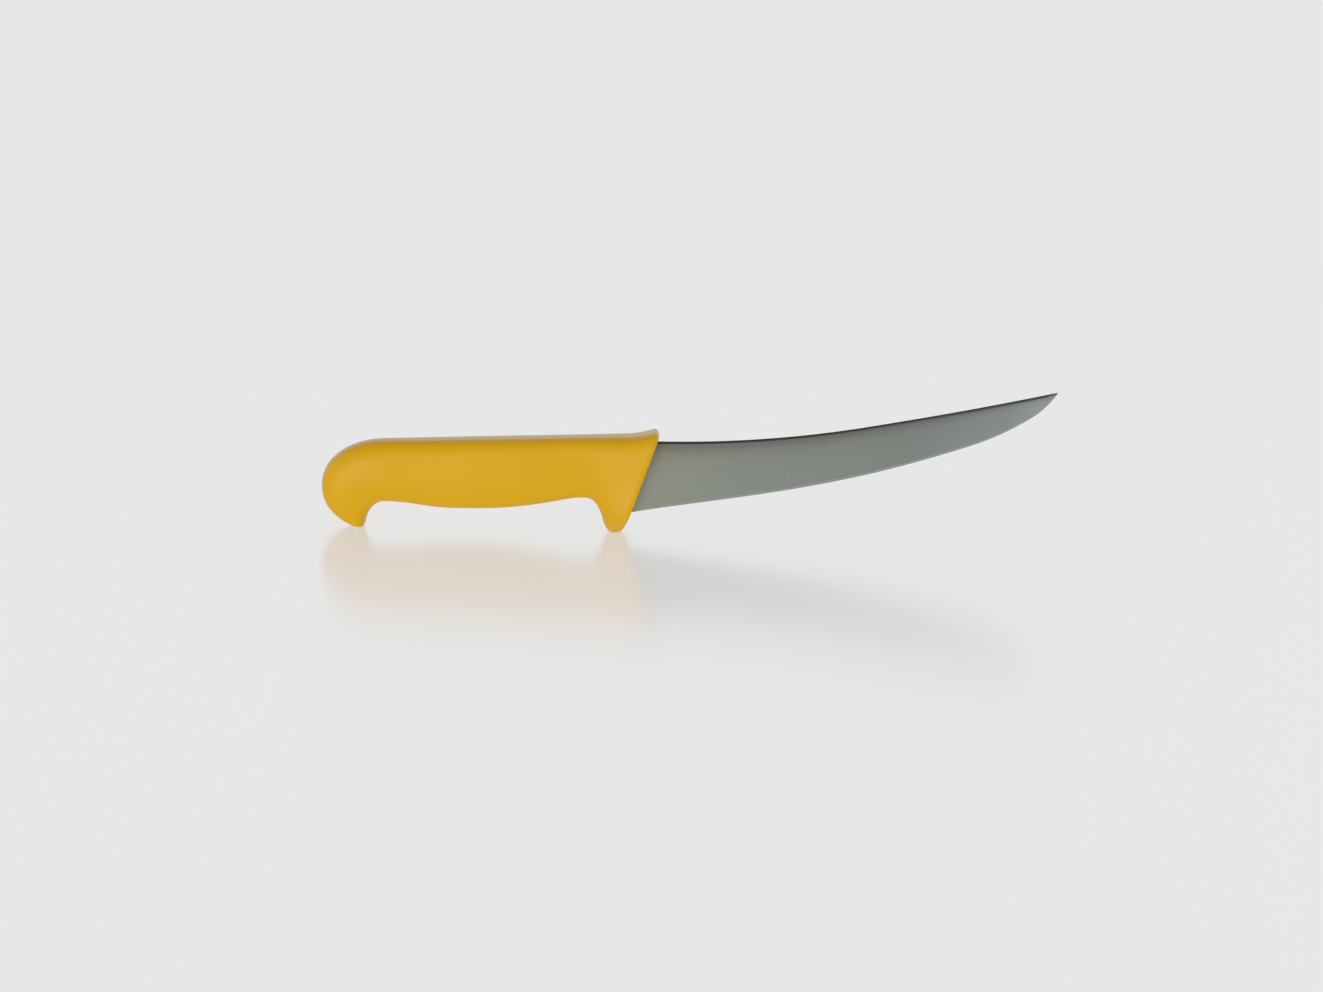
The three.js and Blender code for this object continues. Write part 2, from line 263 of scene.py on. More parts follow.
# Spine and edge, from the back of the root to the point. Formula: the spine is a straight,
# an arc and a slow curve; the edge is the heel's straight, then a curve through knots.
def bladeLines():
    spineZ = blade["spineHeight"]
    front = frontX(spineZ)
    turn = np.linspace(0, blade["spineSweep"] * degree, blade["sweepSteps"])
    sweepX = front + blade["spineRadius"] * np.sin(turn)
    sweepZ = spineZ + blade["spineRadius"] * (1 - np.cos(turn))
    sweep = np.stack([sweepX, sweepZ], axis=1)
    point = (blade["pointReach"], blade["pointHeight"])
    rise = curveThrough([(*sweep[-1], blade["spineSweep"]), (*point, blade["pointSpine"])])
    spine = np.concatenate([[(front - blade["rootDepth"], spineZ)], sweep, rise[1:]])
    heelX, heelZ = frontX(blade["heelHeight"]), blade["heelHeight"]
    slope = math.tan(blade["heelRise"] * degree)
    root = (heelX - blade["rootDepth"], heelZ - blade["rootDepth"] * slope)
    heelEnd = (heelX + blade["heelLength"], heelZ + blade["heelLength"] * slope)
    knots = [(*heelEnd, blade["edgeHeading"])]
    for behind, below, heading in (blade["quicken"], blade["tip"]):
        knots.append((point[0] - behind, point[1] - below, heading))
    knots.append((*point, blade["pointHeading"]))
    return spine, np.concatenate([[root], curveThrough(knots)])


# Ribs of the tang's shoulder, grown by an allowance. Formula: a curve with one handle, from
# the back of the root in to the side of the tang.
def shoulderRibs(grow, steps=7):
    half = blade["tangHeight"] / 2
    q = np.linspace(0, 1, steps)
    across = half + blade["shoulderRound"] * (1 - q)**2 + grow
    ribs = []
    for side in (-1, 1):
        rootBack = frontX(blade["tangMiddle"] + side * across) - blade["rootDepth"]
        ribs.append(onTang(rootBack - blade["shoulderRound"] * q**2, side * across))
    return ribs


# Ribs of the straight tang and its round end, and how far the peg holes open each one.
# Formula: over a hole the ribs part by half the chord of its circle.
def tangRibs(steps=16):
    radius = blade["holeDiameter"] / 2
    endHalf = blade["tangEndHeight"] / 2
    endMiddle = blade["tangEnd"] + endHalf
    bow = np.linspace(0, math.pi, 2 * steps + 1)
    overHoles = [hole + radius * np.cos(bow) for hole in blade["holes"]]
    endTurn = 0.45 * math.pi  # the round ends just short of the last rib
    endBow = np.linspace(0, endTurn, steps)
    endAlong = endMiddle - endHalf * np.sin(endBow)
    along = np.concatenate([*overHoles, endAlong, endAlong[-1:]])
    taper = (along - endMiddle) / (frontX(blade["tangMiddle"]) - blade["rootDepth"] - endMiddle)
    half = np.where(along > endMiddle, mix(endHalf, blade["tangHeight"] / 2, taper), 0)
    half[-steps - 1:-1] = endHalf * np.cos(endBow)  # the last rib shrinks to the end's middle
    nearest = np.min(np.abs(along[:, None] - np.array(blade["holes"])), axis=1)
    opening = np.sqrt(np.clip(radius**2 - nearest**2, 0, None))
    slit = 1e-3  # mm; a hole closes at its two ends
    opening[opening < slit] = 0
    return onTang(along, -half), onTang(along, half), opening


# The blade, its root and its tang as one grid. Formula: each row is a section on a rib from
# edge to spine. It goes up the bevel, up the face in two halves that part over a hole,
# round the spine's corner to the middle, and mirrored down the other side.
def makeBlade(materials):
    spine, edge = bladeLines()
    toPoint = (1 - np.linspace(0, 1, blade["ribs"]))**blade["ribCrowding"]
    shares = (1 - blade["pointBlunt"]) * (1 - toPoint)
    high, low = atShares(spine, shares), atShares(edge, shares)
    end = (high[-1:] + low[-1:]) / 2  # a last rib without height closes the point
    high, low = np.concatenate([high, end]), np.concatenate([low, end])
    shares = np.append(shares, shares[-1])
    shoulderLow, shoulderHigh = shoulderRibs(0)
    tangLow, tangHigh, opening = tangRibs()
    low = np.concatenate([tangLow[::-1], shoulderLow[::-1], low])
    high = np.concatenate([tangHigh[::-1], shoulderHigh[::-1], high])
    hidden = len(low) - len(shares)  # rows of tang and shoulder
    opening = np.concatenate([opening[::-1], np.zeros(len(low) - len(opening))])[:, None]
    ground = np.arange(len(low))[:, None] >= hidden
    share = np.concatenate([np.zeros(hidden), shares])[:, None]

    tiny = 1e-6  # mm; lets a rib without height be divided by
    height = np.linalg.norm(high - low, axis=1)[:, None]
    fade = np.where(ground, np.sqrt(np.clip(height / blade["pointFade"], 0, 1)), 1)
    spineHalf = mix(blade["spineThickness"], blade["pointThickness"], share) / 2 * fade
    spineHalf[0] = 0  # closes the tang's end
    sharpFrom = frontX(blade["heelHeight"]) + blade["heelLength"]
    sharp = smooth((low[:, :1] - sharpFrom) / blade["bevelRun"])
    lower = np.where(ground, np.minimum(blade["bevelThickness"] / 2 * fade, spineHalf), spineHalf)
    breakOff = np.where(ground, 0, blade["edgeBreak"])
    land = np.where(ground, mix(lower, blade["edgeLand"] / 2 * fade, sharp), lower - breakOff)
    land = np.maximum(land, 0)
    mostBevel, mostCorner = height / 3, height / 4  # what these may take of a low rib
    bevel = np.where(ground, np.minimum(blade["bevelHeight"], mostBevel), np.minimum(breakOff, mostCorner))
    cornerTall = np.minimum(np.where(ground, blade["spineRound"][0], breakOff), mostCorner)
    cornerWide = np.where(ground, blade["spineRound"][1] * spineHalf, np.minimum(breakOff, spineHalf))

    half = np.linspace(0, 1, blade["faceSteps"])[None]
    bow = np.linspace(0, math.pi / 2, blade["roundSteps"])[None, 1:]
    middle = (bevel + height - cornerTall) / 2
    lowerFace = mix(bevel, middle - opening, half)
    upperFace = mix(middle + opening, height - cornerTall, half)
    face = np.concatenate([lowerFace, upperFace], axis=1)
    faceShare = (face - bevel) / np.maximum(height - cornerTall - bevel, tiny)
    faceHalf = np.where(ground, mix(lower, spineHalf, faceShare), spineHalf)
    cornerUp = height - cornerTall * (1 - np.sin(bow))
    cornerHalf = spineHalf - cornerWide * (1 - np.cos(bow))
    none = np.zeros_like(height)
    up = np.concatenate([none, face, cornerUp, height], axis=1)
    out = np.concatenate([land, faceHalf, cornerHalf, none], axis=1)
    up = np.concatenate([up, up[:, -2::-1]], axis=1)
    out = np.concatenate([-out, out[:, -2::-1]], axis=1)

    way = (high - low) / np.maximum(height, tiny)
    side = low[:, None] + up[..., None] * way[:, None]
    grid = np.stack([side[..., 0], out, side[..., 1]], axis=-1)
    rows, columns = out.shape
    quads = ringQuads(rows, columns)
    columnOf = np.indices(quads.shape[:2])[1]
    seam = blade["faceSteps"]  # last column of a lower half, on the near side
    seamPair = np.array([seam, columns - 2 - seam])
    honed = np.isin(columnOf, [0, columns - 2]) & (sharp[:-1] > 0.5) & ground[:-1]
    spineFrom = 2 * blade["faceSteps"]  # first column of the spine's corner
    # faces of the spine, which take the stamped steel with its painted shade
    stampedShaded = (columnOf >= spineFrom) & (columnOf < columns - 1 - spineFrom) & ground[:-1]
    keep = ~np.isin(columnOf, seamPair)
    wallRows = np.flatnonzero((opening[:-1] + opening[1:])[:, 0] > 0)
    wallEnds = np.array([[seam, columns - 1 - seam], [seam + 1, columns - 2 - seam]])
    a = wallRows[:, None] * columns + wallEnds[None, :, 0]
    b = wallRows[:, None] * columns + wallEnds[None, :, 1]
    walls = np.stack([a, b, b + columns, a + columns], axis=-1).reshape(-1, 4)
    slots = np.concatenate([(honed + 2 * stampedShaded)[keep], np.zeros(len(walls))])
    allQuads = np.concatenate([quads[keep], walls])
    sharpColumns = [0, 1, columns - 2, columns - 1]
    sharpRows = [hidden - 1, hidden]
    # shares along the blade and down from the spine, which place the painted reflection, the painted shade
    # and the gloss
    depth = (height - up) / mix(*blade["shadeAndGlossDepth"], share)
    uv = np.stack([np.broadcast_to(share, depth.shape), depth], axis=-1)
    return makePiece("blade_ground", grid, allQuads, materials, slots, sharpRows, sharpColumns, uv)


# Grip: the CAD model's sizes, with the outline and the guard's flare drawn a little finer
grip = {
    "footSpan": 100.4,
    "backHeight": 38.02,
    "backFall": 2.26,
    "lipHeight": 40.1,
    "lipSetback": 3.0,
    "lipBase": 37.0,
    "lipRun": 10.4,
    "lipHeading": 194.6,
    "spurBase": 4.37,
    "spurBack": (-4.74, 4.4, 105.4),
    "neck": (-12.3, 13.58, 180),
    "bellyRun": (-25.87, 11.44, 190.6),
    "belly": (36.44, 8.24, 180),  # ahead of the hook's foot, as are those below
    "hookValley": (10.8, 10.24, 180),
    "hookInside": (2.41, 1.97, 260),
    "hookToeHeading": 343,
    "hookFootLength": 1.45,
    "backEnd": 8.63,
    "pommelRear": (-14.86, 16.0, 270),
    "footTrim": 0.3,
    "guardWidth": 24.8,
    "neckWidth": 20,
    "bellySwell": 1.2,
    "pommelWidth": 19.6,
    "guardFootWidth": 13,
    "hookFootWidth": 9.6,
    "footFrom": 0.7,  # the spur narrows from this far down its half height
    "toeRound": 3,  # the hook's foot is rounded across, over the last share of the pommel
    "toeShare": 0.1,
    "flareTop": (-16, 30.6),  # the guard starts to widen along the line between these two
    "flareFoot": (-5, 11.4),
    "flareEase": 0.35,  # share of the flare that curves before it runs straight
    "frontRound": 2.4,
    # squareness of the sections: 2 is an ellipse, higher is closer to a rectangle
    "lipSquareness": 4.6,
    "gripSquareness": 3.8,
    "spurSquareness": 6,
    "bellySquareness": 3.6,
    "pommelSquareness": 2.5,
    "guardRun": 1.2,  # stations over which lip and spur give way to the grip
    "pommelFrom": 0.5,  # station where the grip starts to round off to the pommel
    "partingRidge": (0.05, 0.18),  # height and half width of the mould's parting line
    "coreFront": -14.7,  # cavity for the core, along the tang
    "coreBack": -86.7,
    "coreWidth": 13.4,
    "coreHeight": 17.21,
    "coreSquareness": 5,
    "slotSquareness": 26,
    "grooves": 5,
    "grooveWidth": 4.4,
    "grooveDepth": 1.2,
    "bladeGap": 0.03,  # the plastic is moulded tight onto the steel
    "tangGap": 0.1,
    "sides": 124,
    "rings": (62, 90, 84),  # in the guard, the grip and the pommel
    "ringCrowding": 1.5,  # rings stand closer towards the front face
    "firstShare": 0.085,  # the front face ends a little inside the lip's and spur's curves
    "faceRings": 4,
}


# The handle's side outline as upper and lower lines in three zones, front to hook.
# Formula: smooth curves through knots, which lie on the front face, the back and the feet.
def gripLines():
    hookX = -grip["footSpan"]
    rakeUp = 90 - blade["frontRake"]
    backwards = 180 + grip["backFall"]
    foot = -grip["footTrim"]
    halfFoot = grip["hookFootLength"] / 2

    def fromHook(knot):  # moves a knot from the hook's foot to the frame
        return (hookX + knot[0], knot[1], knot[2])

    def onBack(x):  # a knot on the straight back, which falls towards the hook
        return (x, grip["backHeight"] + x * math.tan(grip["backFall"] * degree), backwards)

    lipX = frontX(grip["lipHeight"]) - grip["lipSetback"]
    lipFoot = (frontX(grip["lipBase"]), grip["lipBase"], rakeUp)
    lipCrest = (lipX, grip["lipHeight"], grip["lipHeading"])
    backFront = onBack(lipX - grip["lipRun"])
    backRear = onBack(hookX + grip["backEnd"])
    spurFront = (frontX(grip["spurBase"]), grip["spurBase"], rakeUp + 180)
    valley = fromHook(grip["hookValley"])
    guardUpper = curveThrough([lipFoot, lipCrest, backFront])
    guardLower = curveThrough([spurFront, (0, foot, 180), grip["spurBack"], grip["neck"]])
    backUpper = curveThrough([backFront, backRear])
    backLower = curveThrough([grip["neck"], grip["bellyRun"], fromHook(grip["belly"]), valley])
    toe = (hookX - halfFoot, foot, grip["hookToeHeading"])
    heel = (hookX + halfFoot, foot, 180)
    pommelUpper = curveThrough([backRear, fromHook(grip["pommelRear"]), toe])
    pommelLower = curveThrough([valley, fromHook(grip["hookInside"]), heel])
    return [(guardUpper, guardLower), (backUpper, backLower), (pommelUpper, pommelLower)]


# Half width of the handle at places in the side view. Formula: the grip's width along its
# zones, plus the guard's flare by how far a place lies from the flare's line to the front
# face, less a quarter circle behind that face, and narrowed towards the spur's foot.
def gripHalf(places, station, up):
    x, z = places[..., 0], places[..., 1]
    along = np.clip(station, 0, 1)
    half = mix(grip["neckWidth"], grip["pommelWidth"], smooth(along)) / 2
    half = half + grip["bellySwell"] / 2 * np.sin(math.pi * along)**2
    half = half - (grip["pommelWidth"] - grip["hookFootWidth"]) / 2 * np.clip(station - 1, 0, 1)**2
    toe = np.clip((station - 2) / grip["toeShare"] + 1, 0, 1)
    half = half - grip["toeRound"] * (1 - np.sqrt(1 - toe**2))
    (topX, topZ), (footX, footZ) = grip["flareTop"], grip["flareFoot"]
    flareX = footX + (z - footZ) * (topX - footX) / (topZ - footZ)
    ahead = np.clip((x - flareX) / (frontX(z) - flareX), 0, 1)
    ease = grip["flareEase"]
    ramp = np.where(ahead < ease, ahead**2 / (2 * ease), ahead - ease / 2) / (1 - ease / 2)
    half = half + (grip["guardWidth"] - grip["neckWidth"]) / 2 * ramp
    rake = blade["frontRake"] * degree
    behind = (blade["frontToe"] - x) * math.cos(rake) + z * math.sin(rake)
    shy = np.clip(1 - behind / grip["frontRound"], 0, 1)
    half = half - grip["frontRound"] * (1 - np.sqrt(1 - shy**2))
    low = mix(grip["guardFootWidth"] / grip["guardWidth"], 1, smooth(station + 1))
    return half * mix(1, low, smooth((-up - grip["footFrom"]) / (1 - grip["footFrom"])))


# The outside of the grip from the hook's foot to the front face, as rings on ribs. Formula:
# a station runs from -1 at the front over the neck, 0, and the pommel, 1, to 2 at the hook's
# foot. It sets each ring's squareness and width, and a bell curve raises the parting line.
def gripOutside(turn):
    t = [np.linspace(0, 1, count) for count in grip["rings"]]
    shares = [mix(grip["firstShare"], 1, t[0]**grip["ringCrowding"]), t[1][1:], t[2][1:]]
    lines = gripLines()
    top = np.concatenate([atShares(upper, s) for (upper, lower), s in zip(lines, shares)])
    bottom = np.concatenate([atShares(lower, s) for (upper, lower), s in zip(lines, shares)])
    station = np.concatenate([shares[0] - 1, shares[1], shares[2] + 1])[:, None]
    rearward = smooth((station + 1) / grip["guardRun"])
    upper = mix(grip["lipSquareness"], grip["gripSquareness"], rearward)
    lower = mix(grip["spurSquareness"], grip["bellySquareness"], rearward)
    n = mix(lower, upper, smooth((1 + np.cos(turn)) / 2))
    n = mix(n, grip["pommelSquareness"], smooth(station - grip["pommelFrom"]))
    places, up, across = squaredRings(bottom, top, n, turn)
    y = across * gripHalf(places, station, up)
    tall, wide = grip["partingRidge"]
    ridge = tall * np.exp(-(y / wide)**2) * np.sign(up)
    rib = (top - bottom) / np.linalg.norm(top - bottom, axis=1)[:, None]
    places = places + ridge[..., None] * rib[:, None]
    return np.stack([places[..., 0], y, np.maximum(places[..., 1], 0)], axis=-1)[::-1]


# The seat of the blade's root and tang, then the core's cavity, from the mouth inwards.
# Formula: rings on ribs again, nearly square, as thick as the steel plus a gap.
def gripInside(turn):
    gap = grip["bladeGap"]
    heights = np.array([blade["heelHeight"] - gap, blade["spineHeight"] + gap])
    mouth = np.stack([frontX(heights), heights], axis=-1)
    slot = mouth[None] - np.array([0, blade["rootDepth"]])[:, None, None] * np.array([1, 0])
    places, up, across = squaredRings(slot[:, 0], slot[:, 1], grip["slotSquareness"], turn)
    wedge = mix(blade["bevelThickness"], blade["spineThickness"], (1 + up) / 2) / 2
    root = np.stack([places[..., 0], across * (wedge + gap), places[..., 1]], axis=-1)

    low, high = shoulderRibs(grip["tangGap"])
    front = grip["coreFront"]
    tangHalf = blade["tangHeight"] / 2 + grip["tangGap"]
    low = np.concatenate([low, onTang(np.array([front]), np.array([-tangHalf]))])
    high = np.concatenate([high, onTang(np.array([front]), np.array([tangHalf]))])
    places, up, across = squaredRings(low, high, grip["slotSquareness"], turn)
    seatHalf = blade["spineThickness"] / 2 + grip["tangGap"]
    seat = np.stack([places[..., 0], across * seatHalf, places[..., 1]], axis=-1)

    pitch = (front - grip["coreBack"]) / grip["grooves"]
    slope = grip["grooveDepth"] / 2
    middles = front - pitch * (np.arange(grip["grooves"]) + 0.5)
    steps = np.array([1, 1, -1, -1]) * grip["grooveWidth"] / 2 + np.array([slope, -slope, slope, -slope])
    along = np.concatenate([[front], (middles[:, None] + steps).ravel(), [grip["coreBack"]]])
    depth = np.concatenate([[0], np.tile([0, 1, 1, 0], grip["grooves"]), [0]]) * grip["grooveDepth"]
    reach = grip["coreHeight"] / 2 - depth
    low, high = onTang(along, -reach), onTang(along, reach)
    places, up, across = squaredRings(low, high, grip["coreSquareness"], turn)
    y = across * (grip["coreWidth"] / 2 - depth)[:, None]
    cavity = np.stack([places[..., 0], y, places[..., 1]], axis=-1)
    return root, seat, cavity


# The whole grip as one grid: the hook's foot drawn in to a point, the outside, the flat
# front face as a blend from its border to the blade's slot, the seat and the cavity.
def makeGrip(material):
    fine = np.array([0, 0.008, 0.018, 0.034])  # radians; close steps beside the parting line
    coarseFrom = 0.055
    coarse = np.linspace(coarseFrom, math.pi / 2, grip["sides"] // 4 - len(fine))
    quarter = np.concatenate([fine, coarse])
    halfTurn = np.concatenate([quarter, math.pi - quarter[-2::-1]])
    turn = np.concatenate([halfTurn, -halfTurn[-2:0:-1]])[None]
    outside = gripOutside(turn)
    root, seat, cavity = gripInside(turn)
    footPole = np.broadcast_to(outside[:1].mean(axis=1, keepdims=True), outside[:1].shape)
    endPole = np.broadcast_to(cavity[-1:].mean(axis=1, keepdims=True), cavity[-1:].shape)
    share = np.linspace(0, 1, grip["faceRings"] + 2)[1:-1, None, None]
    face = mix(outside[-1:], root[:1], share)
    grid = np.concatenate([footPole, outside, face, root, seat, cavity, endPole])
    mouthRow = 1 + len(outside) + len(face)
    quads = ringQuads(*grid.shape[:2]).reshape(-1, 4)
    return makePiece("handle_moulded", grid, quads, [material], sharpRows=[mouthRow])


# Materials

# Polypropylene with yellow pigment, moulded against a spark-eroded cavity: an even, warm
# yellow that shines softly, because a fine grain breaks up every reflection.
def mouldedPolypropylene():
    material, tree = newMaterial("yellow polypropylene, moulded with a spark-eroded grain")
    grainSize = 0.45  # mm; the real grain is about 0.1 mm, drawn coarser so that it shows
    flowSize = 26  # mm; slow drift of the pigment
    place = addNode(tree, "ShaderNodeTexCoord").outputs["Object"]
    grain = addNode(tree, "ShaderNodeTexNoise", inputs={
        "Vector": place, "Scale": 1 / (grainSize * mm), "Detail": 2})
    flow = addNode(tree, "ShaderNodeTexNoise", inputs={
        "Vector": place, "Scale": 1 / (flowSize * mm), "Detail": 3})
    tone = addNode(tree, "ShaderNodeMixRGB", inputs={
        "Fac": flow.outputs["Fac"], "Color1": linearColor("#d3a106"), "Color2": linearColor("#d7a60b")})
    gloss = addNode(tree, "ShaderNodeMapRange", inputs={
        "Value": grain.outputs["Fac"], "From Min": 0.3, "From Max": 0.7, "To Min": 0.26, "To Max": 0.34})
    relief = addNode(tree, "ShaderNodeBump", inputs={
        "Height": grain.outputs["Fac"], "Strength": 0.35, "Distance": 0.03 * mm})
    plastic = addNode(tree, "ShaderNodeBsdfPrincipled", inputs={
        "Base Color": tone.outputs["Color"], "Roughness": gloss.outputs["Result"],
        "Normal": relief.outputs["Normal"], "IOR": 1.49, "Specular IOR Level": 0.22})
    addNode(tree, "ShaderNodeOutputMaterial", inputs={"Surface": plastic.outputs["BSDF"]})
    return material


# Stainless steel, belt-ground across the blade: a grey satin with faint upright lines, duller under
# the spine where the belt starts and finer towards the edge and the point. Its colour holds painted shade,
# darker under the spine and lighter towards the edge, and a painted reflection, warm by the root and paler
# and bluer towards the point.
def groundSteel():
    material, tree = newMaterial("stainless steel, belt-ground across the face")
    lineWidth = 0.16  # mm; grinding marks are about 0.03 mm, drawn coarser so that they show
    lineLength = 14  # mm
    coords = addNode(tree, "ShaderNodeTexCoord")
    stretched = addNode(tree, "ShaderNodeMapping", inputs={
        "Vector": coords.outputs["Object"],
        "Scale": (1 / (lineWidth * mm), 1 / (lineLength * mm), 1 / (lineLength * mm))})
    lines = addNode(tree, "ShaderNodeTexNoise", inputs={
        "Vector": stretched.outputs["Vector"], "Scale": 1, "Detail": 3})
    parts = addNode(tree, "ShaderNodeSeparateXYZ", inputs={"Vector": coords.outputs["UV"]})
    below = parts.outputs["Y"]  # 0 at the spine
    # painted shade: the face darker under the spine and lighter towards the edge
    paintedShadeBelowSpine = addNode(tree, "ShaderNodeValToRGB", inputs={"Fac": below}, stops=(
        (0.04, "#868a84"), (0.1, "#9b9f98"), (0.18, "#a5a9a4"),
        (0.35, "#a8afa9"), (0.6, "#acb4ad"), (0.85, "#b4b8b1")))
    along = parts.outputs["X"]  # 0 at the root, 1 at the point
    # painted reflection: warm near the root, paler and bluer towards the point
    paintedReflectionAlong = addNode(tree, "ShaderNodeValToRGB", inputs={"Fac": along}, stops=(
        (0.05, "#dad7cb"), (0.25, "#d2d3d0"), (0.63, "#cbcccb"),
        (0.75, "#cfd0d6"), (0.87, "#d7d8dd"), (0.95, "#eaeef2")))
    streak = addNode(tree, "ShaderNodeMapRange", inputs={
        "Value": lines.outputs["Fac"], "From Min": 0.3, "From Max": 0.7, "To Min": 0.96, "To Max": 1.04})
    even = addNode(tree, "ShaderNodeVectorMath", {"operation": "MULTIPLY"}, {
        0: paintedShadeBelowSpine.outputs["Color"], 1: paintedReflectionAlong.outputs["Color"]})
    tone = addNode(tree, "ShaderNodeVectorMath", {"operation": "SCALE"}, {
        0: even.outputs["Vector"], "Scale": streak.outputs["Result"]})
    gloss = addNode(tree, "ShaderNodeMapRange", inputs={
        "Value": below, "To Min": 0.38, "To Max": 0.28})
    relief = addNode(tree, "ShaderNodeBump", inputs={
        "Height": lines.outputs["Fac"], "Strength": 0.08, "Distance": 0.01 * mm})
    steel = addNode(tree, "ShaderNodeBsdfPrincipled", inputs={
        "Base Color": tone.outputs["Vector"], "Metallic": 1, "Roughness": gloss.outputs["Result"],
        "Normal": relief.outputs["Normal"]})
    addNode(tree, "ShaderNodeOutputMaterial", inputs={"Surface": steel.outputs["BSDF"]})
    return material


# The same steel, honed on a fine stone at the edge: brighter, with a fine, even grit.
def honedSteel():
    material, tree = newMaterial("stainless steel, honed on a fine stone")
    markWidth = 0.12  # mm; drawn coarser than a stone's grit so that it shows
    place = addNode(tree, "ShaderNodeTexCoord").outputs["Object"]
    marks = addNode(tree, "ShaderNodeTexNoise", inputs={
        "Vector": place, "Scale": 1 / (markWidth * mm), "Detail": 2})
    tone = addNode(tree, "ShaderNodeMixRGB", inputs={
        "Fac": marks.outputs["Fac"], "Color1": linearColor("#a0a4a2"), "Color2": linearColor("#abaeac")})
    gloss = addNode(tree, "ShaderNodeMapRange", inputs={
        "Value": marks.outputs["Fac"], "To Min": 0.18, "To Max": 0.28})
    steel = addNode(tree, "ShaderNodeBsdfPrincipled", inputs={
        "Base Color": tone.outputs["Color"], "Metallic": 1, "Roughness": gloss.outputs["Result"]})
    addNode(tree, "ShaderNodeOutputMaterial", inputs={"Surface": steel.outputs["BSDF"]})
    return material


# The same steel as it was stamped out, along the spine: duller than the ground face, and darker with
# painted shade along the spine.
def stampedSteelWithShade():
    material, tree = newMaterial("stainless steel, stamped and tumbled, with painted shade")
    pitSize = 0.3  # mm; dimples left by the tumbling stones
    place = addNode(tree, "ShaderNodeTexCoord").outputs["Object"]
    pits = addNode(tree, "ShaderNodeTexNoise", inputs={
        "Vector": place, "Scale": 1 / (pitSize * mm), "Detail": 2})
    # painted shade: a grey far darker than bare steel, for the shade along the spine
    tone = addNode(tree, "ShaderNodeMixRGB", inputs={
        "Fac": pits.outputs["Fac"], "Color1": linearColor("#464844"), "Color2": linearColor("#50524e")})
    gloss = addNode(tree, "ShaderNodeMapRange", inputs={
        "Value": pits.outputs["Fac"], "To Min": 0.38, "To Max": 0.5})
    steel = addNode(tree, "ShaderNodeBsdfPrincipled", inputs={
        "Base Color": tone.outputs["Color"], "Metallic": 1, "Roughness": gloss.outputs["Result"]})
    addNode(tree, "ShaderNodeOutputMaterial", inputs={"Surface": steel.outputs["BSDF"]})
    return material


# Polypropylene without pigment, as it leaves the mould: milky, with a dull shine.
def naturalPolypropylene():
    material, tree = newMaterial("natural polypropylene, as moulded")
    cloudSize = 8  # mm; clouding of unpigmented plastic
    place = addNode(tree, "ShaderNodeTexCoord").outputs["Object"]
    cloud = addNode(tree, "ShaderNodeTexNoise", inputs={
        "Vector": place, "Scale": 1 / (cloudSize * mm), "Detail": 3})
    tone = addNode(tree, "ShaderNodeMixRGB", inputs={
        "Fac": cloud.outputs["Fac"], "Color1": linearColor("#d3ccbb"), "Color2": linearColor("#dfdacb")})
    gloss = addNode(tree, "ShaderNodeMapRange", inputs={
        "Value": cloud.outputs["Fac"], "To Min": 0.5, "To Max": 0.62})
    plastic = addNode(tree, "ShaderNodeBsdfPrincipled", inputs={
        "Base Color": tone.outputs["Color"], "Roughness": gloss.outputs["Result"], "IOR": 1.49})
    addNode(tree, "ShaderNodeOutputMaterial", inputs={"Surface": plastic.outputs["BSDF"]})
    return material


# Studio: a pale glossy table under a dark ceiling, lit by wide soft lamps low in front
studio = {
    "tableHalf": 20,  # metres
    "tableColor": "#f4f4f4",
    "tableShade": 0.2,  # share of real shading in the table's pale tone
    "tableMirror": 0.34,
    "tableRoughness": 0.2,
    # light from all round by height, 0 straight below and 1 straight above: the pale table's
    # own light, the pale horizon and a dark ceiling
    "sky": ((0, "#e0e0e0"), (0.495, "#e0e0e0"), (0.5, "#fafafa"), (0.7, "#fafafa"), (0.94, "#949496")),
    "lamps": {
        # place, size in metres, power in watts, colour
        "left": ((-0.77, -1.52, 0.02), (1.05, 0.92), 7.5, "#fffaf2"),
        "right": ((0.95, -1.4, 0.25), (0.9, 0.46), 1.8, "#f2f7ff"),
    },
    "lampAim": (0, 0, 0.02),
}


# White acrylic sheet: pale all over, with a soft mirror image of what stands on it.
def acrylicTable():
    material, tree = newMaterial("white acrylic sheet, satin")
    pale = linearColor(studio["tableColor"])
    ray = addNode(tree, "ShaderNodeLightPath").outputs
    straight = addNode(tree, "ShaderNodeMath", {"operation": "ADD"}, {
        0: ray["Is Camera Ray"], 1: ray["Is Glossy Ray"]})
    seen = addNode(tree, "ShaderNodeMath", {"operation": "ADD", "use_clamp": True}, {
        0: straight.outputs["Value"], 1: ray["Is Transmission Ray"]})
    even = addNode(tree, "ShaderNodeMath", {"operation": "MULTIPLY"}, {
        0: seen.outputs["Value"], 1: 1 - studio["tableShade"]})
    matt = addNode(tree, "ShaderNodeBsdfDiffuse", inputs={"Color": pale})
    tone = addNode(tree, "ShaderNodeEmission", inputs={"Color": pale})
    body = addNode(tree, "ShaderNodeMixShader", inputs={
        "Fac": even.outputs["Value"], 1: matt.outputs["BSDF"], 2: tone.outputs["Emission"]})
    mirror = addNode(tree, "ShaderNodeBsdfGlossy", {"distribution": "MULTI_GGX"}, {
        "Roughness": studio["tableRoughness"]})
    sheet = addNode(tree, "ShaderNodeMixShader", inputs={
        "Fac": studio["tableMirror"], 1: body.outputs["Shader"], 2: mirror.outputs["BSDF"]})
    addNode(tree, "ShaderNodeOutputMaterial", inputs={"Surface": sheet.outputs["Shader"]})
    return material


# A level square at the height of the knife's feet.
def makeTable():
    reach = studio["tableHalf"]
    mesh = bpy.data.meshes.new("table")
    mesh.from_pydata([(-reach, -reach, 0), (reach, -reach, 0), (reach, reach, 0), (-reach, reach, 0)],
                     [], [(0, 1, 2, 3)])
    mesh.materials.append(acrylicTable())
    table = bpy.data.objects.new("table", mesh)
    scene.collection.objects.link(table)
    table.visible_diffuse = False  # its light on the knife comes from the world's lower half
    table.visible_glossy = False
    table.visible_shadow = False
    return table


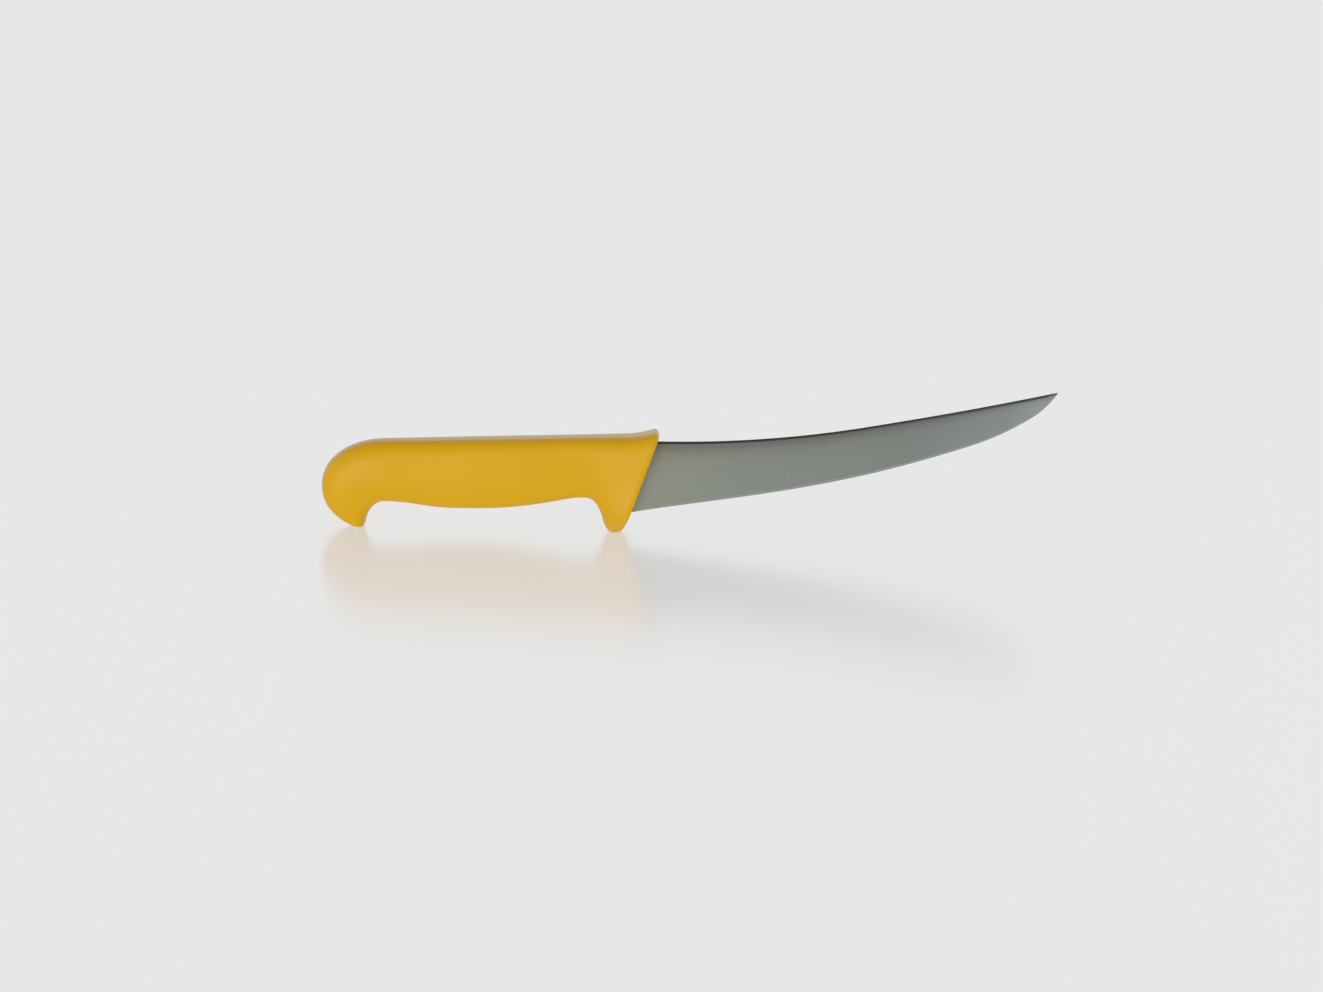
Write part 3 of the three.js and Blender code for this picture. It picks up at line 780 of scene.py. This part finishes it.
# Light from all round, by height: pale from the table, paler at the horizon, dark overhead.
def makeWorld():
    world = bpy.data.worlds.new("studio")
    world.use_nodes = True
    tree = world.node_tree
    tree.nodes.clear()
    way = addNode(tree, "ShaderNodeTexCoord").outputs["Generated"]
    parts = addNode(tree, "ShaderNodeSeparateXYZ", inputs={"Vector": way})
    height = addNode(tree, "ShaderNodeMapRange", inputs={
        "Value": parts.outputs["Z"], "From Min": -1, "From Max": 1})
    tone = addNode(tree, "ShaderNodeValToRGB", inputs={"Fac": height.outputs["Result"]},
                   stops=studio["sky"])
    sky = addNode(tree, "ShaderNodeBackground", inputs={"Color": tone.outputs["Color"]})
    addNode(tree, "ShaderNodeOutputWorld", inputs={"Surface": sky.outputs["Background"]})
    scene.world = world


# Soft lamps for the knife alone, so that the table shows no bright image of them.
def makeLamps(table):
    lit = bpy.data.collections.new("lit_by_lamps")
    lit.objects.link(table)
    lit.collection_objects[0].light_linking.link_state = "EXCLUDE"
    for name, (place, size, power, color) in studio["lamps"].items():
        data = bpy.data.lights.new("softbox_" + name, "AREA")
        data.shape = "RECTANGLE"
        data.size, data.size_y = size
        data.energy = power
        data.color = linearColor(color)[:3]
        lamp = bpy.data.objects.new("softbox_" + name, data)
        scene.collection.objects.link(lamp)
        lamp.location = place
        lamp.rotation_mode = "QUATERNION"
        lamp.rotation_quaternion = (Vector(studio["lampAim"]) - lamp.location).to_track_quat("-Z", "Y")
        lamp.visible_camera = False
        lamp.light_linking.receiver_collection = lit


table = makeTable()
makeWorld()
makeLamps(table)
scene.view_settings.view_transform = "Standard"
print("studio lit")

bladePiece = makeBlade([groundSteel(), honedSteel(), stampedSteelWithShade()])
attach(bladePiece, "root")
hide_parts("blade")

gripPiece = makeGrip(mouldedPolypropylene())
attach(gripPiece, "root")
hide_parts("handle_grip")

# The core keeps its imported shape, hidden in the grip, and only gets its material
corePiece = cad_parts["handle_core"]
corePiece.data.materials.clear()
corePiece.data.materials.append(naturalPolypropylene())
print("pieces made")
